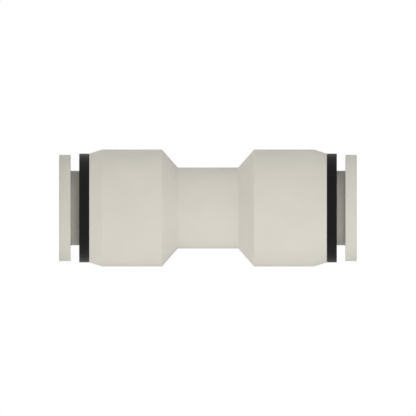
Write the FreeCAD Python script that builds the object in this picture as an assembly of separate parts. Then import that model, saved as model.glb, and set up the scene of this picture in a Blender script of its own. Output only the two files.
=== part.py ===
import FreeCAD, Part

import math
import os

from FreeCAD import Vector

# A push-in straight union for 8 mm tube. One moulded body joins two equal grips, one at each end.
# In each grip a lip seal closes on the tube, and a slotted collet carries a sprung steel chuck,
# whose claws bite the tube. A pull on the tube draws the chuck into the wedge inside the collar,
# and the release button pushes it out again.
# The axis is Z and the origin is the middle of the fitting. Sizes are in millimetres, and radii
# are measured from the axis. Each piece is drawn for the upper end, and the lower end holds the
# same piece turned over.

# Tube, and the bores that it passes through
tube_radius = 4.0
socket_clearance = 0.05
guide_clearance = 0.1
passage_radius = 3.0
stop_thickness = 1.7

# Body, from the middle outwards
neck_wall = 1.215
neck_length = 7.86
cone_length = 2.05
gland_overlap = 0.58
gland_width = 1.8
gland_length = 2.8
body_wall = 1.245
mouth_taper_length = 1.66
mouth_taper_depth = 0.53
bore_lead = 0.25

# Collar: a barbed sleeve pressed into the body, with a rim outside it
collar_wall = 0.6
wedge_length = 2.25
wedge_depth = 0.4
rim_length = 1.3
snap_setback = 2.3
snap_length = 0.9
snap_depth = 0.2
snap_gap = 0.04
press_gap = 0.01

# Seal, and the ring that keeps it in its gland
ring_flange = 0.5
ring_spigot = 0.3
nose_height = 0.3
nose_width = 0.6
lip_squeeze = 0.15
lip_length = 1.35
lip_land = 0.35
lip_thickness = 0.45
lip_root = 0.65
seal_gap = 0.03

# Collet: it slides in the collar, with fingers below and a socket for the button above
finger_count = 6
finger_slot = 0.7
finger_root = 0.7
collet_play = 0.1
collet_setback = 0.45
socket_root = 0.45
socket_wall = 0.6

# Release button: a flange on a sleeve, whose plug snaps into the collet's socket and turns there
plug_wall = 0.5
plug_length = 1.35
plug_step = 0.245
bead_depth = 0.12
bead_length = 0.5
turning_gap = 0.05
stroke = 1.0
stroke_spare = 0.1
button_thickness = 1.5
button_setback = 0.165
entry_chamfer = 0.55
entry_length = 0.4

# Chuck: a crown of sprung blades, pressed from sheet, on the outside of the collet's fingers
sheet = 0.25
sheet_gap = 0.02
band_length = 0.5
blade_slot = 0.9
claw_reach = 0.15
claw_angle = 30.0
claw_notch = 0.5
claw_notch_depth = 0.6
wedge_play = 0.04
heel_land = 0.3

# Edges that are broken by a small chamfer
edge_break = 0.12
fine_break = 0.08

# Radii that follow from these
socket_radius = tube_radius + socket_clearance
guide_radius = tube_radius + guide_clearance
claw_radius = tube_radius - claw_reach
neck_radius = socket_radius + neck_wall
gland_radius = socket_radius + gland_width
plug_radius = guide_radius + plug_wall
sleeve_radius = plug_radius + plug_step
plug_bore = plug_radius + turning_gap
collet_radius = plug_bore + socket_wall
collar_bore = collet_radius + collet_play
wedge_radius = collar_bore + wedge_depth
flare_radius = wedge_radius - wedge_play
heel_radius = flare_radius - sheet
collar_radius = wedge_radius + collar_wall
cartridge_radius = collar_radius + press_gap
barrel_radius = cartridge_radius + body_wall
mouth_radius = barrel_radius - mouth_taper_depth
button_radius = mouth_radius - button_setback

# The claws slope down towards the tube, and cut sheet looks thicker along the axis
claw_slope = math.tan(math.radians(claw_angle))
claw_thickness = sheet / math.cos(math.radians(claw_angle))

# Heights above the middle that follow from these
stop_top = stop_thickness / 2
neck_top = neck_length / 2
barrel_start = neck_top + cone_length
gland_floor = barrel_start - gland_overlap
gland_top = gland_floor + gland_length
ring_top = gland_top + ring_flange
nose_top = ring_top + nose_height
claws_at_guide = nose_top + stroke + wedge_play
heel_height = claws_at_guide + claw_thickness + (heel_radius - guide_radius) * claw_slope
wedge_start = heel_height + heel_land
wedge_top = wedge_start + wedge_length
flare_top = wedge_start + (flare_radius - collet_radius) * wedge_length / wedge_depth
band_top = flare_top + band_length
socket_floor = band_top + socket_root
plug_end = socket_floor + turning_gap
bead_top = plug_end + bead_length
sleeve_end = plug_end + plug_length
collet_top = sleeve_end - turning_gap
rim_top = collet_top + collet_setback
body_face = rim_top - rim_length
snap_top = body_face - snap_setback
snap_low = snap_top - snap_length
button_back = rim_top + stroke + stroke_spare
button_face = button_back + button_thickness


def claw_underside(radius):
    """Height of the claws' lower face at a radius."""
    return claws_at_guide + (radius - guide_radius) * claw_slope


def turned(corners):
    """Solid turned about Z from (radius, height) corners. A third number breaks that corner."""
    points = []
    for i, corner in enumerate(corners):
        here = Vector(corner[0], 0, corner[1])
        if len(corner) < 3:
            points.append(here)
            continue
        for neighbour in (corners[i - 1], corners[(i + 1) % len(corners)]):
            along = Vector(neighbour[0], 0, neighbour[1]) - here
            setback = min(corner[2], 0.4 * along.Length)
            points.append(here + along.normalize() * setback)
    face = Part.Face(Part.makePolygon(points + points[:1]))
    return face.revolve(Vector(), Vector(0, 0, 1), 360)


def radial_slots(count, width, outer, low, high, first_angle=0.0, round_top=False):
    """Slots of one width from the axis outwards, evenly spaced about Z."""
    corners = [(-width / 2, high), (-width / 2, low), (width / 2, low), (width / 2, high)]
    points = [Vector(0, across, height) for across, height in corners]
    edges = [Part.LineSegment(points[i], points[i + 1]).toShape() for i in range(3)]
    if round_top:
        edges.append(Part.Arc(points[3], Vector(0, 0, high + width / 2), points[0]).toShape())
    else:
        edges.append(Part.LineSegment(points[3], points[0]).toShape())
    slot = Part.Face(Part.Wire(edges)).extrude(Vector(outer, 0, 0))
    tools = []
    for i in range(count):
        tool = slot.copy()
        tool.rotate(Vector(), Vector(0, 0, 1), first_angle + 360.0 * i / count)
        tools.append(tool)
    return tools


def make_body():
    """Moulded body: neck, cones and barrels outside, tube stop and stepped bores inside."""
    snap_radius = cartridge_radius + snap_depth
    upper_half = [
        (neck_radius, neck_top, edge_break),
        (barrel_radius, barrel_start, edge_break),
        (barrel_radius, body_face - mouth_taper_length),
        (mouth_radius, body_face, fine_break),
        (cartridge_radius + bore_lead / 2, body_face),
        (cartridge_radius, body_face - bore_lead),
        (cartridge_radius, snap_top),
        (snap_radius, snap_top),
        (snap_radius, snap_low),
        (cartridge_radius, snap_low),
        (cartridge_radius, gland_top),
        (gland_radius, gland_top),
        (gland_radius, gland_floor),
        (socket_radius + bore_lead, gland_floor),
        (socket_radius, gland_floor - bore_lead),
        (socket_radius, stop_top),
        (passage_radius, stop_top, edge_break),
    ]
    lower_half = [(corner[0], -corner[1], *corner[2:]) for corner in reversed(upper_half)]
    return turned(upper_half + lower_half)


def make_seal():
    """Lip seal: a heel under the retaining ring, and two lips that face the pressure."""
    heel_top = gland_top - ring_spigot
    lip_end = gland_floor + seal_gap
    lip_start = lip_end + lip_length
    lip_edge = tube_radius - lip_squeeze
    outer = gland_radius - seal_gap
    return turned(
        [
            (guide_radius, heel_top),
            (outer, heel_top, edge_break),
            (outer, lip_end),
            (outer - lip_thickness, lip_end),
            (outer - lip_root, lip_start),
            (guide_radius + lip_root, lip_start),
            (lip_edge + lip_thickness, lip_end),
            (lip_edge, lip_end, fine_break),
            (lip_edge, lip_end + lip_land),
            (guide_radius, lip_start),
        ]
    )


def make_seal_ring():
    """Ring that keeps the seal in its gland and guides the tube. Its nose opens the claws."""
    flange_radius = cartridge_radius - press_gap
    spigot = gland_radius - seal_gap
    nose_radius = guide_radius + nose_width
    return turned(
        [
            (guide_radius, gland_top - ring_spigot),
            (spigot, gland_top - ring_spigot),
            (spigot, gland_top),
            (flange_radius, gland_top),
            (flange_radius, ring_top),
            (nose_radius, ring_top),
            (nose_radius - nose_height, nose_top),
            (guide_radius, nose_top, fine_break),
        ]
    )


def make_collar():
    """Collar: rim on the body's face, barbed sleeve in its bore, and the wedge inside."""
    barb_radius = collar_radius + snap_depth
    return turned(
        [
            (collar_bore, wedge_top),
            (wedge_radius, wedge_start),
            (wedge_radius, ring_top),
            (collar_radius, ring_top, edge_break),
            (collar_radius, snap_low + snap_gap),
            (barb_radius, snap_top - 2 * snap_gap),
            (barb_radius, snap_top - snap_gap),
            (collar_radius, snap_top - snap_gap),
            (collar_radius, body_face),
            (mouth_radius, body_face, fine_break),
            (mouth_radius, rim_top, edge_break),
            (collar_bore, rim_top, fine_break),
        ]
    )


def make_collet():
    """Collet: guides the tube, with fingers below and a grooved socket for the button above."""
    seat = sheet + sheet_gap
    finger_radius = flare_radius - seat
    nose_gap = claw_thickness + sheet_gap
    groove_radius = plug_bore + bead_depth
    groove_top = bead_top + turning_gap
    sleeve = turned(
        [
            (guide_radius, claw_underside(guide_radius) + nose_gap),
            (finger_radius, claw_underside(finger_radius) + nose_gap),
            (finger_radius, wedge_start),
            (collet_radius - seat, flare_top),
            (collet_radius - seat, band_top + sheet_gap),
            (collet_radius, band_top + sheet_gap),
            (collet_radius, collet_top, fine_break),
            (plug_bore, collet_top, fine_break),
            (plug_bore, groove_top),
            (groove_radius, groove_top),
            (groove_radius, socket_floor),
            (guide_radius, socket_floor),
        ]
    )
    slot_top = band_top - finger_root - finger_slot / 2
    return sleeve.cut(
        radial_slots(finger_count, finger_slot, collar_radius, ring_top, slot_top, round_top=True)
    )


def make_chuck():
    """Chuck: a band round the collet, blades down its fingers, and claws hooked under them."""
    crown = turned(
        [
            (collet_radius - sheet, band_top),
            (collet_radius - sheet, flare_top),
            (heel_radius, wedge_start),
            (heel_radius, claw_underside(heel_radius) + claw_thickness),
            (claw_radius, claw_underside(claw_radius) + claw_thickness),
            (claw_radius, claw_underside(claw_radius)),
            (heel_radius, claw_underside(heel_radius)),
            (flare_radius, heel_height),
            (flare_radius, wedge_start),
            (collet_radius, flare_top),
            (collet_radius, band_top),
        ]
    )
    low = claw_underside(claw_radius) - sheet
    blades = radial_slots(finger_count, blade_slot, collar_radius, low, flare_top)
    half_step = 180.0 / finger_count
    tip_radius = claw_radius + claw_notch_depth
    notches = radial_slots(finger_count, claw_notch, tip_radius, low, wedge_start, half_step)
    return crown.cut(blades + notches)


def make_release_button():
    """Release button: flange, sleeve and beaded plug in one, with a lead-in for the tube."""
    return turned(
        [
            (guide_radius, plug_end),
            (plug_radius, plug_end),
            (plug_radius + bead_depth, bead_top),
            (plug_radius, bead_top),
            (plug_radius, sleeve_end),
            (sleeve_radius, sleeve_end),
            (sleeve_radius, button_back),
            (button_radius, button_back, edge_break),
            (button_radius, button_face, edge_break),
            (guide_radius + entry_chamfer, button_face),
            (guide_radius, button_face - entry_length),
        ]
    )


def turned_over(piece):
    """The same piece at the lower end."""
    lower = piece.copy()
    lower.rotate(Vector(), Vector(1, 0, 0), 180)
    return lower


def save(name, piece):
    """One STEP file for each piece, named after it."""
    piece.Solids[0].exportStep("parts/" + name + ".step")


def main():
    os.makedirs("parts", exist_ok=True)
    save("body", make_body())
    grip = {
        "seal": make_seal(),
        "seal_ring": make_seal_ring(),
        "collar": make_collar(),
        "collet": make_collet(),
        "chuck": make_chuck(),
        "release_button": make_release_button(),
    }
    for name, piece in grip.items():
        save("upper_" + name, piece)
        save("lower_" + name, turned_over(piece))


main()
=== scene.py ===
import math

import bpy
from mathutils import Matrix, Vector


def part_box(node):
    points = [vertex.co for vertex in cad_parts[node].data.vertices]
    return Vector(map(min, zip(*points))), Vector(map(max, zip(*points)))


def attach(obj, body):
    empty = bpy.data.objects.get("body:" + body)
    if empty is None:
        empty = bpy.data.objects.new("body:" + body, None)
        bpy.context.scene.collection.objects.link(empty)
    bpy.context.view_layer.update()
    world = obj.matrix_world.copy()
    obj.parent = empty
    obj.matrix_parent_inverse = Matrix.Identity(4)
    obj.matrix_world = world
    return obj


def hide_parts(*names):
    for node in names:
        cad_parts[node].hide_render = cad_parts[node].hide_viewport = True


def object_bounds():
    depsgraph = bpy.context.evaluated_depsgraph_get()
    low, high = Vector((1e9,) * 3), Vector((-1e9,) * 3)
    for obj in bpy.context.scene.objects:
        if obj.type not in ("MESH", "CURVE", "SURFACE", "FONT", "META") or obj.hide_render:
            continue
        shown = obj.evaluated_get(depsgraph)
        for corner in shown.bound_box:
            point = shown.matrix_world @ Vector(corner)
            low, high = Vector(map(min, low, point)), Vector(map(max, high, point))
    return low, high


# The looks of a push-in straight union for 8 mm tube, which stands on its end.
# The camera looks at it from the side and is rolled, so that the axis runs across the picture.
# Sizes are in millimetres until a section becomes a mesh. Each section is drawn for the upper
# end, as (radius, height above the middle) corners, and the lower end gets the same piece
# turned over.

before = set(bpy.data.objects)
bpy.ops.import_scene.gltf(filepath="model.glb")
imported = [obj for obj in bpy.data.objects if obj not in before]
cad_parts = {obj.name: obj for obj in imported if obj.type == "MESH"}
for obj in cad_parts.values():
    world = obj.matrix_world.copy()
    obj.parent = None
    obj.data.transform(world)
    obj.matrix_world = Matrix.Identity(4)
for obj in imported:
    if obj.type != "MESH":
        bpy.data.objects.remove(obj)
cad_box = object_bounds()

MM = 0.001


def reach(node):
    """A node's radius, lowest and highest height in millimetres."""
    low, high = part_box(node)
    return high.x / MM, low.z / MM, high.z / MM


# Sizes that the solids give
BARREL, _, BODY_FACE = reach("body")
SEAL, LIP_END, _ = reach("upper_seal")
SEAL_RING, HEEL_TOP, NOSE_TOP = reach("upper_seal_ring")
RIM, RING_TOP, RIM_TOP = reach("upper_collar")
_, _, COLLET_TOP = reach("upper_collet")
_, CLAW_LOW, BAND_TOP = reach("upper_chuck")
BUTTON, PLUG_END, BUTTON_FACE = reach("upper_release_button")

# Radii of the bores that the tube passes through, and the height of its stop
SOCKET = 4.05
GUIDE = 4.1
PASSAGE = 3.0
STOP_TOP = 0.85

# Body
NECK = 5.265
NECK_TOP = 3.93
BARREL_START = 5.98
GLAND = 5.85
GLAND_FLOOR = 5.4
GLAND_TOP = 8.2
CARTRIDGE = 6.36
TAPER_LENGTH = 1.66
BORE_LEAD = 0.25
SNAP_TOP = 13.15
SNAP_LENGTH = 0.9
SNAP_DEPTH = 0.2

# Seal and its ring
SEAL_LIP_EDGE = 3.85
LIP_LENGTH = 1.35
LIP_LAND = 0.35
LIP = 0.45
LIP_ROOT = 0.65
NOSE_WIDTH = 0.6

# Collar
COLLAR = 6.35
COLLAR_BORE = 5.35
WEDGE = 5.75
WEDGE_LENGTH = 2.25
SNAP_GAP = 0.04

# Collet and chuck
COLLET = 5.25
FINGER_COUNT = 6
FINGER_SLOT = 0.7
FINGER_ROOT = 0.7
SHEET = 0.25
SHEET_GAP = 0.02
BAND_LENGTH = 0.5
BLADE_SLOT = 0.9
CLAW_TIP = 3.85
CLAW_ANGLE = math.radians(30)
CLAW_NOTCH = 0.5
CLAW_NOTCH_DEPTH = 0.6
WEDGE_PLAY = 0.04
HEEL_LAND = 0.3

# Release button, and its plug in the collet's socket
SLEEVE = 4.845
PLUG = 4.6
PLUG_LENGTH = 1.35
BEAD_DEPTH = 0.12
BEAD_LENGTH = 0.5
TURNING_GAP = 0.05
BUTTON_THICKNESS = 1.5
ENTRY_CHAMFER = 0.55
ENTRY_LENGTH = 0.4

# Rounding of the edges. A rounding takes up only a share of the shorter edge beside it, and the
# support, a short flat that keeps its shading off the next face, only a share of that.
SOFT_ROUND = 0.25
EDGE_ROUND = 0.1
FINE_ROUND = 0.04
HEEL_ROUND = 0.1
CUT_ROUND = 0.03
BARB_ROUND = 0.01
SUPPORT = 0.02
ROUND_SHARE = 0.4
SUPPORT_SHARE = 0.25

# How finely a piece is turned, and from which angle on a cut edge is drawn sharp
ARC_STEP = math.radians(30)
STEPS_OUTSIDE = 192
STEPS_INSIDE = 144
SHARP_EDGE = math.radians(35)

# The round end of a finger slot keeps a narrow flat, so that its two roundings don't meet
SLOT_END_FLAT = 0.002
SLOT_END = (FINGER_SLOT - SLOT_END_FLAT) / 2
SLOT_END_STEPS = 8

# A section is carried round a ring, and slots are cut from an inner radius, that are both
# smaller than any piece's bore. A cut that leaves a piece at its foot runs on by the spare.
CARRIER = 1.0
SLOT_START = 1.5
CUT_SPARE = 0.5

# Finishes: how wide a cloud, grain, hair line or fleck is, and how high it stands. The moulds'
# eroded grain is about 0.04 mm in life, and strip's rolling lines about 0.01 mm. Both are drawn
# coarser here, because one pixel of the picture is 0.13 mm wide. ROLLING_LINES is their number
# to the millimetre along X, Y and Z. The moulded finishes have half the usual gloss, which is
# what their grain leaves in the photograph.
FLOW_CLOUD = 5.0
ERODED_GRAIN = 0.3
ERODED_HEIGHT = 0.006
GRAIN_GLOSS = 0.25
PARTING_WIDTH = 0.06
PARTING_HEIGHT = 0.02
FIBRE_FLECK = 0.4
RUBBER_BLOOM = 0.8
ROLLING_LINES = (8.0, 8.0, 0.4)
ROLLING_HEIGHT = 0.003

# A Mix node's colours go by number, because its inputs of other types share their names
MIX_A = 6
MIX_B = 7
MIX_RESULT = 2

# Studio. The soft light is a little stronger from the front, from +X and from above. Gloss sees
# a dim room in front. It brightens from the first depth of BACKDROP_EDGE on and would be white
# at the second, where a ray straight back has a depth of 1. A lamp is given by its place in
# millimetres and its power in watts.
PICTURE_PIXELS = 416
PIXEL = 0.13
PICTURE_WIDTH = PICTURE_PIXELS * PIXEL
CAMERA_DISTANCE = 300.0
FLOOR_RADIUS = 400.0
FLOOR_CORNERS = 64
LIGHT_LEVEL = 0.714
LIGHT_SLOPE = (0.08, -0.16, 0.08)
BACKDROP_EDGE = (0.45, 1.8)
ROOM_IN_FRONT = 0.2
LAMP_SIZE = 160.0
LAMPS = {
    "front": ((0, -400, 70), 0.26),
    "side": ((400, 0, 70), 0.2),
    "back": ((-120, 380, 70), 0.28),
}


def linear(hexa):
    """The linear colour of an sRGB hex value."""
    parts = [int(hexa[i:i + 2], 16) / 255 for i in (0, 2, 4)]
    return [c / 12.92 if c <= 0.04045 else ((c + 0.055) / 1.055) ** 2.4 for c in parts] + [1.0]


def add(tree, kind, links=None, **settings):
    """Adds a node, gives it its settings, and fills its inputs with values or links."""
    node = tree.nodes.new(kind)
    for name, value in settings.items():
        setattr(node, name, value)
    for name, value in (links or {}).items():
        socket = node.inputs[name]
        if isinstance(value, bpy.types.NodeSocket):
            tree.links.new(value, socket)
        else:
            socket.default_value = value
    return node


def geometry_tree(name, inputs):
    """An empty Geometry Nodes tree with the named inputs, and its two ends."""
    tree = bpy.data.node_groups.new(name, "GeometryNodeTree")
    face = tree.interface
    face.new_socket("Geometry", in_out="INPUT", socket_type="NodeSocketGeometry")
    for label, kind in inputs.items():
        face.new_socket(label, in_out="INPUT", socket_type="NodeSocket" + kind)
    face.new_socket("Geometry", in_out="OUTPUT", socket_type="NodeSocketGeometry")
    given = tree.nodes.new("NodeGroupInput").outputs
    return tree, given, tree.nodes.new("NodeGroupOutput").inputs["Geometry"]


def finish_tree(tree, geometry, material, result):
    """Ends a tree with real geometry in one material."""
    real = add(tree, "GeometryNodeRealizeInstances", {"Geometry": geometry})
    coat = add(
        tree,
        "GeometryNodeSetMaterial",
        {"Geometry": real.outputs["Geometry"], "Material": material},
    )
    tree.links.new(coat.outputs["Geometry"], result)


def turning_tree():
    """Carries a closed section round the Z axis."""
    inputs = {"Steps": "Int", "Carrier": "Float", "Material": "Material"}
    tree, given, result = geometry_tree("turn a section", inputs)
    section = add(tree, "GeometryNodeMeshToCurve", {"Mesh": given["Geometry"]})
    ring = add(
        tree,
        "GeometryNodeCurvePrimitiveCircle",
        {"Resolution": given["Steps"], "Radius": given["Carrier"]},
    )
    upright = add(tree, "GeometryNodeSetCurveNormal", {"Curve": ring.outputs["Curve"]}, mode="Z_UP")
    skin = add(
        tree,
        "GeometryNodeCurveToMesh",
        {"Curve": upright.outputs["Curve"], "Profile Curve": section.outputs["Curve"]},
    )
    smooth = add(tree, "GeometryNodeSetShadeSmooth", {"Geometry": skin.outputs["Mesh"]})
    finish_tree(tree, smooth.outputs["Geometry"], given["Material"], result)
    return tree


def slotting_tree():
    """Cuts radial slots, evenly spaced round the Z axis, with round or square ends."""
    inputs = {
        "Count": "Int",
        "Width": "Float",
        "Low": "Float",
        "High": "Float",
        "Inner": "Float",
        "Outer": "Float",
        "First Angle": "Float",
        "End Radius": "Float",
        "Sharp Angle": "Float",
        "Material": "Material",
    }
    tree, given, result = geometry_tree("cut radial slots", inputs)
    height = add(tree, "ShaderNodeMath", {0: given["High"], 1: given["Low"]}, operation="SUBTRACT")
    total = add(tree, "ShaderNodeMath", {0: given["High"], 1: given["Low"]}, operation="ADD")
    middle = add(tree, "ShaderNodeMath", {0: total.outputs[0], 1: 0.5}, operation="MULTIPLY")
    start = add(tree, "ShaderNodeCombineXYZ", {"X": given["Inner"], "Z": middle.outputs[0]})
    end = add(tree, "ShaderNodeCombineXYZ", {"X": given["Outer"], "Z": middle.outputs[0]})
    path = add(
        tree,
        "GeometryNodeCurvePrimitiveLine",
        {"Start": start.outputs["Vector"], "End": end.outputs["Vector"]},
    )
    upright = add(tree, "GeometryNodeSetCurveNormal", {"Curve": path.outputs["Curve"]}, mode="Z_UP")
    window = add(
        tree,
        "GeometryNodeCurvePrimitiveQuadrilateral",
        {"Width": given["Width"], "Height": height.outputs[0]},
    )
    ends = add(
        tree,
        "GeometryNodeFilletCurve",
        {
            "Curve": window.outputs["Curve"],
            "Count": SLOT_END_STEPS,
            "Radius": given["End Radius"],
        },
        mode="POLY",
    )
    cutter = add(
        tree,
        "GeometryNodeCurveToMesh",
        {
            "Curve": upright.outputs["Curve"],
            "Profile Curve": ends.outputs["Curve"],
            "Fill Caps": True,
        },
    )
    index = add(tree, "GeometryNodeInputIndex")
    step = add(tree, "ShaderNodeMath", {0: math.tau, 1: given["Count"]}, operation="DIVIDE")
    turn = add(
        tree,
        "ShaderNodeMath",
        {0: index.outputs["Index"], 1: step.outputs[0], 2: given["First Angle"]},
        operation="MULTIPLY_ADD",
    )
    turned_by = add(tree, "ShaderNodeCombineXYZ", {"Z": turn.outputs[0]})
    centres = add(tree, "GeometryNodePoints", {"Count": given["Count"]})
    cutters = add(
        tree,
        "GeometryNodeInstanceOnPoints",
        {
            "Points": centres.outputs["Points"],
            "Instance": cutter.outputs["Mesh"],
            "Rotation": turned_by.outputs["Vector"],
        },
    )
    real = add(tree, "GeometryNodeRealizeInstances", {"Geometry": cutters.outputs["Instances"]})
    cut = add(
        tree,
        "GeometryNodeMeshBoolean",
        {"Mesh 1": given["Geometry"], "Mesh 2": real.outputs["Geometry"]},
        operation="DIFFERENCE",
        solver="EXACT",
    )
    angle = add(tree, "GeometryNodeInputMeshEdgeAngle")
    steep = add(
        tree,
        "FunctionNodeCompare",
        {"A": angle.outputs["Unsigned Angle"], "B": given["Sharp Angle"]},
        data_type="FLOAT",
        operation="GREATER_THAN",
    )
    smooth = add(tree, "GeometryNodeSetShadeSmooth", {"Geometry": cut.outputs["Mesh"]})
    crisp = add(
        tree,
        "GeometryNodeSetShadeSmooth",
        {
            "Geometry": smooth.outputs["Geometry"],
            "Selection": steep.outputs["Result"],
            "Shade Smooth": False,
        },
        domain="EDGE",
    )
    finish_tree(tree, crisp.outputs["Geometry"], given["Material"], result)
    return tree


TURNING = turning_tree()
SLOTTING = slotting_tree()


def modify(piece, tree, values):
    """Gives a piece a Geometry Nodes modifier, with its inputs set by their identifiers."""
    modifier = piece.modifiers.new(tree.name, "NODES")
    modifier.node_group = tree
    for item in tree.interface.items_tree:
        if item.in_out == "INPUT" and item.name in values:
            modifier[item.identifier] = values[item.name]


def make_plain(piece):
    """Makes what the modifiers give the piece's own mesh, and removes them."""
    graph = bpy.context.evaluated_depsgraph_get()
    mesh = bpy.data.meshes.new_from_object(piece.evaluated_get(graph), depsgraph=graph)
    piece.modifiers.clear()
    piece.data = mesh


def rounded(corners):
    """Section points with every corner rounded. A third number is that corner's own radius."""
    points = []
    for i, corner in enumerate(corners):
        here = Vector(corner[:2])
        back = Vector(corners[i - 1][:2]) - here
        ahead = Vector(corners[(i + 1) % len(corners)][:2]) - here
        half_angle = back.angle(ahead) / 2
        room = ROUND_SHARE * min(back.length, ahead.length)
        radius = corner[2] if len(corner) > 2 else FINE_ROUND
        setback = min(radius / math.tan(half_angle), room)
        radius = setback * math.tan(half_angle)
        support = min(SUPPORT, SUPPORT_SHARE * room)
        back.normalize()
        ahead.normalize()
        centre = here + (back + ahead).normalized() * (radius / math.sin(half_angle))
        arm = here + back * setback - centre
        last = here + ahead * setback - centre
        sweep = arm.angle(last) * math.copysign(1, arm.cross(last))
        count = 1 + math.ceil(abs(sweep) / ARC_STEP)
        points.append(here + back * (setback + support))
        points += [centre + Matrix.Rotation(sweep * k / count, 2) @ arm for k in range(count + 1)]
        points.append(here + ahead * (setback + support))
    return points


def turned(name, corners, material, steps=STEPS_INSIDE):
    """A piece turned from a section, with its faces outwards. The carrying ring hangs a section
    upside down, so its heights are turned over first."""
    points = rounded(corners)
    area = sum(points[i - 1].cross(points[i]) for i in range(len(points)))
    if area > 0:
        points.reverse()
    mesh = bpy.data.meshes.new(name)
    mesh.from_pydata(
        [((p.x - CARRIER) * MM, -p.y * MM, 0) for p in points],
        [(i - 1, i) for i in range(1, len(points))] + [(len(points) - 1, 0)],
        [],
    )
    piece = bpy.data.objects.new(name, mesh)
    bpy.context.scene.collection.objects.link(piece)
    modify(piece, TURNING, {"Steps": steps, "Carrier": CARRIER * MM, "Material": material})
    return piece


def slotted(piece, material, width, low, high, outer, first_angle=0.0, end_radius=0.0):
    """Cuts one slot for each finger into a turned piece."""
    sizes = {
        "Width": width,
        "Low": low,
        "High": high,
        "Inner": SLOT_START,
        "Outer": outer,
        "End Radius": end_radius,
    }
    values = {label: size * MM for label, size in sizes.items()}
    values["Count"] = FINGER_COUNT
    values["First Angle"] = first_angle
    values["Sharp Angle"] = SHARP_EDGE
    values["Material"] = material
    modify(piece, SLOTTING, values)


def surface(name, **even):
    """A new material with its even values on the shader's own sockets, and places in millimetres."""
    material = bpy.data.materials.new(name)
    material.use_nodes = True
    tree = material.node_tree
    shader = tree.nodes["Principled BSDF"]
    for label, value in even.items():
        shader.inputs[label.replace("_", " ")].default_value = value
    spot = add(tree, "ShaderNodeTexCoord").outputs["Object"]
    place = add(tree, "ShaderNodeVectorMath", {0: spot, "Scale": 1 / MM}, operation="SCALE")
    return material, tree, shader, place.outputs["Vector"]


def moulded(name, shades, roughness, drift, grain, grain_height, **even):
    """A moulded plastic: colour that drifts where it flowed, and the mould's eroded grain."""
    material, tree, shader, place = surface(name, Specular_IOR_Level=GRAIN_GLOSS, **even)
    flow = add(
        tree,
        "ShaderNodeTexNoise",
        {"Vector": place, "Scale": 1 / drift, "Detail": 3.0, "Roughness": 0.55},
    )
    colour = add(
        tree,
        "ShaderNodeMix",
        {"Factor": flow.outputs["Fac"], MIX_A: linear(shades[0]), MIX_B: linear(shades[1])},
        data_type="RGBA",
    )
    eroded = add(
        tree,
        "ShaderNodeTexNoise",
        {"Vector": place, "Scale": 1 / grain, "Detail": 2.0, "Roughness": 0.6},
    )
    gloss = add(
        tree,
        "ShaderNodeMapRange",
        {"Value": eroded.outputs["Fac"], "To Min": roughness[0], "To Max": roughness[1]},
    )
    bump = add(
        tree,
        "ShaderNodeBump",
        {"Height": eroded.outputs["Fac"], "Strength": 1.0, "Distance": grain_height * MM},
    )
    tree.links.new(colour.outputs[MIX_RESULT], shader.inputs["Base Color"])
    tree.links.new(gloss.outputs["Result"], shader.inputs["Roughness"])
    tree.links.new(bump.outputs["Normal"], shader.inputs["Normal"])
    return material, tree, place, bump


def moulded_ivory_pbt():
    """Polybutylene terephthalate, moulded in a fine eroded tool: a satin ivory, faintly clouded.
    Its two mould halves meet in a hair line along each side, which catches the light."""
    material, tree, place, bump = moulded(
        "moulded_ivory_pbt",
        shades=("D1CDC3", "D9D5CB"),
        roughness=(0.36, 0.48),
        drift=FLOW_CLOUD,
        grain=ERODED_GRAIN,
        grain_height=ERODED_HEIGHT,
        IOR=1.52,
    )
    parts = add(tree, "ShaderNodeSeparateXYZ", {"Vector": place})
    side = add(tree, "ShaderNodeMath", {0: parts.outputs["Y"]}, operation="ABSOLUTE")
    line = add(
        tree,
        "ShaderNodeMapRange",
        {"Value": side.outputs[0], "From Max": PARTING_WIDTH, "To Min": 1.0, "To Max": 0.0},
        interpolation_type="SMOOTHSTEP",
    )
    out = add(tree, "ShaderNodeMath", {0: parts.outputs["X"]}, operation="ABSOLUTE")
    outside = add(tree, "ShaderNodeMath", {0: out.outputs[0], 1: SOCKET}, operation="GREATER_THAN")
    seam = add(
        tree, "ShaderNodeMath", {0: line.outputs[0], 1: outside.outputs[0]}, operation="MULTIPLY"
    )
    ridge = add(
        tree,
        "ShaderNodeBump",
        {"Height": seam.outputs[0], "Distance": PARTING_HEIGHT * MM, "Normal": bump.outputs[0]},
    )
    shader = tree.nodes["Principled BSDF"]
    tree.links.new(ridge.outputs["Normal"], shader.inputs["Normal"])
    return material


def moulded_pale_acetal():
    """Acetal with a pale tint, moulded: slicker than the body, with a waxy, even sheen."""
    return moulded(
        "moulded_pale_acetal",
        shades=("CDCAC0", "D4D1C7"),
        roughness=(0.3, 0.4),
        drift=FLOW_CLOUD,
        grain=ERODED_GRAIN,
        grain_height=ERODED_HEIGHT / 2,
        IOR=1.48,
    )[0]


def moulded_natural_acetal():
    """Acetal without a tint, moulded: milky white and waxy."""
    return moulded(
        "moulded_natural_acetal",
        shades=("E2DFD4", "EAE7DD"),
        roughness=(0.28, 0.38),
        drift=FLOW_CLOUD,
        grain=ERODED_GRAIN,
        grain_height=ERODED_HEIGHT / 2,
        IOR=1.48,
    )[0]


def moulded_black_nylon():
    """Nylon filled with glass fibre, moulded: near black, with fibre showing as a dull fleck."""
    return moulded(
        "moulded_black_nylon",
        shades=("0A0A0A", "141414"),
        roughness=(0.32, 0.5),
        drift=FIBRE_FLECK,
        grain=ERODED_GRAIN,
        grain_height=ERODED_HEIGHT,
        IOR=1.53,
    )[0]


def moulded_nitrile_rubber():
    """Nitrile rubber, moulded and cured: a soft matte black with a dusty bloom."""
    return moulded(
        "moulded_nitrile_rubber",
        shades=("161616", "242423"),
        roughness=(0.6, 0.8),
        drift=RUBBER_BLOOM,
        grain=ERODED_GRAIN,
        grain_height=ERODED_HEIGHT,
        IOR=1.52,
    )[0]


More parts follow.
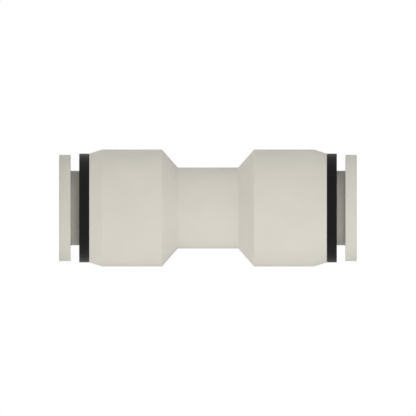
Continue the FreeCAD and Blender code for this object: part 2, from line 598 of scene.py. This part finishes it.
def rolled_spring_stainless():
    """Stainless spring strip, cold rolled and pressed: bright, with fine lines along the blades."""
    material, tree, shader, place = surface("rolled_spring_stainless", Metallic=1.0)
    along = add(tree, "ShaderNodeVectorMath", {0: place, 1: ROLLING_LINES}, operation="MULTIPLY")
    lines = add(
        tree,
        "ShaderNodeTexNoise",
        {"Vector": along.outputs["Vector"], "Scale": 1.0, "Detail": 3.0, "Roughness": 0.6},
    )
    shade = add(
        tree,
        "ShaderNodeMix",
        {"Factor": lines.outputs["Fac"], MIX_A: linear("BDBBB6"), MIX_B: linear("D2D0CB")},
        data_type="RGBA",
    )
    gloss = add(
        tree,
        "ShaderNodeMapRange",
        {"Value": lines.outputs["Fac"], "To Min": 0.2, "To Max": 0.36},
    )
    bump = add(
        tree,
        "ShaderNodeBump",
        {"Height": lines.outputs["Fac"], "Distance": ROLLING_HEIGHT * MM},
    )
    tree.links.new(shade.outputs[MIX_RESULT], shader.inputs["Base Color"])
    tree.links.new(gloss.outputs["Result"], shader.inputs["Roughness"])
    tree.links.new(bump.outputs["Normal"], shader.inputs["Normal"])
    return material


# Levels and radii that several sections share
flare = WEDGE - WEDGE_PLAY
flare_top = BAND_TOP - BAND_LENGTH
wedge_start = flare_top - (flare - COLLET) * WEDGE_LENGTH / (WEDGE - COLLAR_BORE)
heel = flare - SHEET
heel_height = wedge_start - HEEL_LAND
claw_thickness = SHEET / math.cos(CLAW_ANGLE)
bead_top = PLUG_END + BEAD_LENGTH


def claw_underside(radius):
    """Height of the claws' lower face at a radius."""
    return CLAW_LOW + (radius - CLAW_TIP) * math.tan(CLAW_ANGLE)


def make_body(name):
    """The body, with its neck, cones and barrels outside and its stepped bores inside."""
    snap = CARTRIDGE + SNAP_DEPTH
    upper = [
        (NECK, NECK_TOP, SOFT_ROUND),
        (BARREL, BARREL_START, EDGE_ROUND),
        (BARREL, BODY_FACE - TAPER_LENGTH, SOFT_ROUND),
        (RIM, BODY_FACE, EDGE_ROUND),
        (CARTRIDGE + BORE_LEAD / 2, BODY_FACE),
        (CARTRIDGE, BODY_FACE - BORE_LEAD),
        (CARTRIDGE, SNAP_TOP),
        (snap, SNAP_TOP),
        (snap, SNAP_TOP - SNAP_LENGTH),
        (CARTRIDGE, SNAP_TOP - SNAP_LENGTH),
        (CARTRIDGE, GLAND_TOP),
        (GLAND, GLAND_TOP),
        (GLAND, GLAND_FLOOR),
        (SOCKET + BORE_LEAD, GLAND_FLOOR),
        (SOCKET, GLAND_FLOOR - BORE_LEAD),
        (SOCKET, STOP_TOP),
        (PASSAGE, STOP_TOP, EDGE_ROUND),
    ]
    lower = [(corner[0], -corner[1], *corner[2:]) for corner in reversed(upper)]
    return turned(name, upper + lower, ivory, STEPS_OUTSIDE)


def make_seal(name):
    """The lip seal: a heel, and two lips that face the pressure."""
    lip_start = LIP_END + LIP_LENGTH
    section = [
        (GUIDE, HEEL_TOP),
        (SEAL, HEEL_TOP, EDGE_ROUND),
        (SEAL, LIP_END),
        (SEAL - LIP, LIP_END, EDGE_ROUND),
        (SEAL - LIP_ROOT, lip_start, EDGE_ROUND),
        (GUIDE + LIP_ROOT, lip_start, EDGE_ROUND),
        (SEAL_LIP_EDGE + LIP, LIP_END, EDGE_ROUND),
        (SEAL_LIP_EDGE, LIP_END, EDGE_ROUND),
        (SEAL_LIP_EDGE, LIP_END + LIP_LAND, EDGE_ROUND),
        (GUIDE, lip_start, EDGE_ROUND),
    ]
    return turned(name, section, rubber)


def make_seal_ring(name):
    """The ring that keeps the seal in its gland, with a nose that opens the claws."""
    nose = GUIDE + NOSE_WIDTH
    section = [
        (GUIDE, HEEL_TOP),
        (SEAL, HEEL_TOP),
        (SEAL, GLAND_TOP),
        (SEAL_RING, GLAND_TOP),
        (SEAL_RING, RING_TOP),
        (nose, RING_TOP),
        (nose - (NOSE_TOP - RING_TOP), NOSE_TOP),
        (GUIDE, NOSE_TOP, EDGE_ROUND),
    ]
    return turned(name, section, natural)


def make_collar(name):
    """The collar: its rim outside the body, its barb, and the wedge inside."""
    barb = COLLAR + SNAP_DEPTH
    barb_top = SNAP_TOP - SNAP_GAP
    section = [
        (COLLAR_BORE, wedge_start + WEDGE_LENGTH),
        (WEDGE, wedge_start),
        (WEDGE, RING_TOP),
        (COLLAR, RING_TOP, EDGE_ROUND),
        (COLLAR, SNAP_TOP - SNAP_LENGTH + SNAP_GAP),
        (barb, barb_top - SNAP_GAP, BARB_ROUND),
        (barb, barb_top, BARB_ROUND),
        (COLLAR, barb_top),
        (COLLAR, BODY_FACE),
        (RIM, BODY_FACE, EDGE_ROUND),
        (RIM, RIM_TOP, EDGE_ROUND),
        (COLLAR_BORE, RIM_TOP, EDGE_ROUND),
    ]
    return turned(name, section, black, STEPS_OUTSIDE)


def make_collet(name):
    """The collet: a socket for the button above, and slots with round roots below."""
    seat = COLLET - SHEET - SHEET_GAP
    finger = heel - SHEET_GAP
    nose_gap = claw_thickness + SHEET_GAP
    socket = PLUG + TURNING_GAP
    groove = socket + BEAD_DEPTH
    floor = PLUG_END - TURNING_GAP
    section = [
        (GUIDE, claw_underside(GUIDE) + nose_gap),
        (finger, claw_underside(finger) + nose_gap),
        (finger, wedge_start),
        (seat, flare_top),
        (seat, BAND_TOP + SHEET_GAP),
        (COLLET, BAND_TOP + SHEET_GAP),
        (COLLET, COLLET_TOP, EDGE_ROUND),
        (socket, COLLET_TOP, EDGE_ROUND),
        (socket, bead_top + TURNING_GAP),
        (groove, bead_top + TURNING_GAP),
        (groove, floor),
        (GUIDE, floor),
    ]
    piece = turned(name, section, natural)
    high = BAND_TOP - FINGER_ROOT
    slotted(piece, natural, FINGER_SLOT, RING_TOP, high, COLLAR, end_radius=SLOT_END)
    return piece


def make_chuck(name):
    """The pressed crown: blades between wide slots, and two claws at the foot of each."""
    section = [
        (COLLET - SHEET, BAND_TOP, CUT_ROUND),
        (COLLET - SHEET, flare_top, SHEET),
        (heel, wedge_start, SHEET),
        (heel, claw_underside(heel) + claw_thickness, CUT_ROUND),
        (CLAW_TIP, claw_underside(CLAW_TIP) + claw_thickness, BARB_ROUND),
        (CLAW_TIP, claw_underside(CLAW_TIP), BARB_ROUND),
        (heel, claw_underside(heel), HEEL_ROUND),
        (flare, heel_height, SHEET),
        (flare, wedge_start, SHEET),
        (COLLET, flare_top, SHEET),
        (COLLET, BAND_TOP, CUT_ROUND),
    ]
    piece = turned(name, section, steel)
    low = CLAW_LOW - CUT_SPARE
    slotted(piece, steel, BLADE_SLOT, low, flare_top, COLLAR)
    half_step = math.pi / FINGER_COUNT
    slotted(piece, steel, CLAW_NOTCH, low, wedge_start, CLAW_TIP + CLAW_NOTCH_DEPTH, half_step)
    return piece


def make_button(name):
    """The release button: flange, sleeve and beaded plug in one moulding."""
    back = BUTTON_FACE - BUTTON_THICKNESS
    sleeve_end = PLUG_END + PLUG_LENGTH
    section = [
        (GUIDE, PLUG_END),
        (PLUG, PLUG_END),
        (PLUG + BEAD_DEPTH, bead_top),
        (PLUG, bead_top),
        (PLUG, sleeve_end),
        (SLEEVE, sleeve_end),
        (SLEEVE, back, EDGE_ROUND),
        (BUTTON, back, EDGE_ROUND),
        (BUTTON, BUTTON_FACE, EDGE_ROUND),
        (GUIDE + ENTRY_CHAMFER, BUTTON_FACE, EDGE_ROUND),
        (GUIDE, BUTTON_FACE - ENTRY_LENGTH, EDGE_ROUND),
    ]
    return turned(name, section, pale, STEPS_OUTSIDE)


def fit(piece, node, body, turned_over):
    """Makes a piece plain, and puts it on its body in place of its node."""
    make_plain(piece)
    if turned_over:
        piece.data.transform(Matrix.Rotation(math.pi, 4, "X"))
    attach(piece, body)
    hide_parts(node)


ivory = moulded_ivory_pbt()
pale = moulded_pale_acetal()
natural = moulded_natural_acetal()
black = moulded_black_nylon()
rubber = moulded_nitrile_rubber()
steel = rolled_spring_stainless()

fit(make_body("body_moulding"), "body", "housing", turned_over=False)
for end in ("upper", "lower"):
    for make, piece_name, node, body, slot in (
        (make_seal, "lip_seal", "seal", "housing", "nitrile_rubber"),
        (make_seal_ring, "retaining_ring", "seal_ring", "housing", "natural_acetal"),
        (make_collar, "collar_moulding", "collar", "housing", "black_nylon"),
        (make_collet, "collet_moulding", "collet", end + "_grip", "natural_acetal"),
        (make_chuck, "chuck_crown", "chuck", end + "_grip", "spring_stainless"),
        (make_button, "button_moulding", "release_button", end + "_button", "pale_acetal"),
    ):
        piece = make(end + "_" + piece_name)
        fit(piece, end + "_" + node, body, turned_over=end == "lower")


def set_world():
    """Soft light all round, a white backdrop for the camera, and a dimmer one for gloss."""
    world = bpy.data.worlds.new("studio")
    bpy.context.scene.world = world
    world.use_nodes = True
    tree = world.node_tree
    tree.nodes.clear()
    way = add(tree, "ShaderNodeTexCoord").outputs["Generated"]
    slope = add(tree, "ShaderNodeVectorMath", {0: way, 1: LIGHT_SLOPE}, operation="DOT_PRODUCT")
    soft = add(tree, "ShaderNodeMath", {0: slope.outputs["Value"], 1: LIGHT_LEVEL}, operation="ADD")
    depth = add(tree, "ShaderNodeSeparateXYZ", {"Vector": way})
    shown = add(
        tree,
        "ShaderNodeMapRange",
        {
            "Value": depth.outputs["Y"],
            "From Min": BACKDROP_EDGE[0],
            "From Max": BACKDROP_EDGE[1],
            "To Min": ROOM_IN_FRONT,
            "To Max": 1.0,
        },
        interpolation_type="SMOOTHSTEP",
    )
    path = add(tree, "ShaderNodeLightPath").outputs
    gloss = add(
        tree,
        "ShaderNodeMix",
        {"Factor": path["Is Glossy Ray"], "A": soft.outputs[0], "B": shown.outputs["Result"]},
    )
    seen = add(
        tree,
        "ShaderNodeMath",
        {0: path["Is Camera Ray"], 1: path["Is Transmission Ray"]},
        operation="MAXIMUM",
    )
    strength = add(
        tree,
        "ShaderNodeMix",
        {"Factor": seen.outputs[0], "A": gloss.outputs["Result"], "B": 1.0},
    )
    light = add(
        tree,
        "ShaderNodeBackground",
        {"Color": linear("FFFFFF"), "Strength": strength.outputs["Result"]},
    )
    add(tree, "ShaderNodeOutputWorld", {"Surface": light.outputs["Background"]})


def set_lamp(name, place, power):
    """A round soft lamp that faces the middle of the fitting and leaves no spot in its gloss."""
    light = bpy.data.lights.new(name, "AREA")
    light.shape = "DISK"
    light.size = LAMP_SIZE * MM
    light.energy = power
    lamp = bpy.data.objects.new(name, light)
    bpy.context.scene.collection.objects.link(lamp)
    lamp.location = Vector(place) * MM
    lamp.rotation_mode = "QUATERNION"
    lamp.rotation_quaternion = Vector(place).to_track_quat("Z", "Y")
    lamp.visible_glossy = False


def set_camera():
    """Looks along +Y, rolled so that the fitting's upper end is at the right of the picture."""
    data = bpy.data.cameras.new("camera")
    data.type = "ORTHO"
    data.ortho_scale = PICTURE_WIDTH * MM
    camera = bpy.data.objects.new("camera", data)
    bpy.context.scene.collection.objects.link(camera)
    right = Vector((0, 0, 1))
    back = Vector((0, -1, 0))
    turn = Matrix((right, back.cross(right), back)).transposed().to_4x4()
    camera.matrix_world = Matrix.Translation(back * CAMERA_DISTANCE * MM) @ turn
    bpy.context.scene.camera = camera


def make_floor():
    """A round pale board that the fitting stands on."""
    radius = FLOOR_RADIUS * MM
    angles = [math.tau * k / FLOOR_CORNERS for k in range(FLOOR_CORNERS)]
    ring = [(radius * math.cos(a), radius * math.sin(a), cad_box[0].z) for a in angles]
    mesh = bpy.data.meshes.new("studio_floor")
    mesh.from_pydata(ring, [], [tuple(range(FLOOR_CORNERS))])
    floor = bpy.data.objects.new("studio_floor", mesh)
    bpy.context.scene.collection.objects.link(floor)
    board, _, shader, _ = surface("matt_board", Roughness=0.9)
    shader.inputs["Base Color"].default_value = linear("FBFBFA")
    mesh.materials.append(board)


set_world()
for name, (place, power) in LAMPS.items():
    set_lamp(name, place, power)
set_camera()
make_floor()
bpy.context.scene.view_settings.view_transform = "Standard"
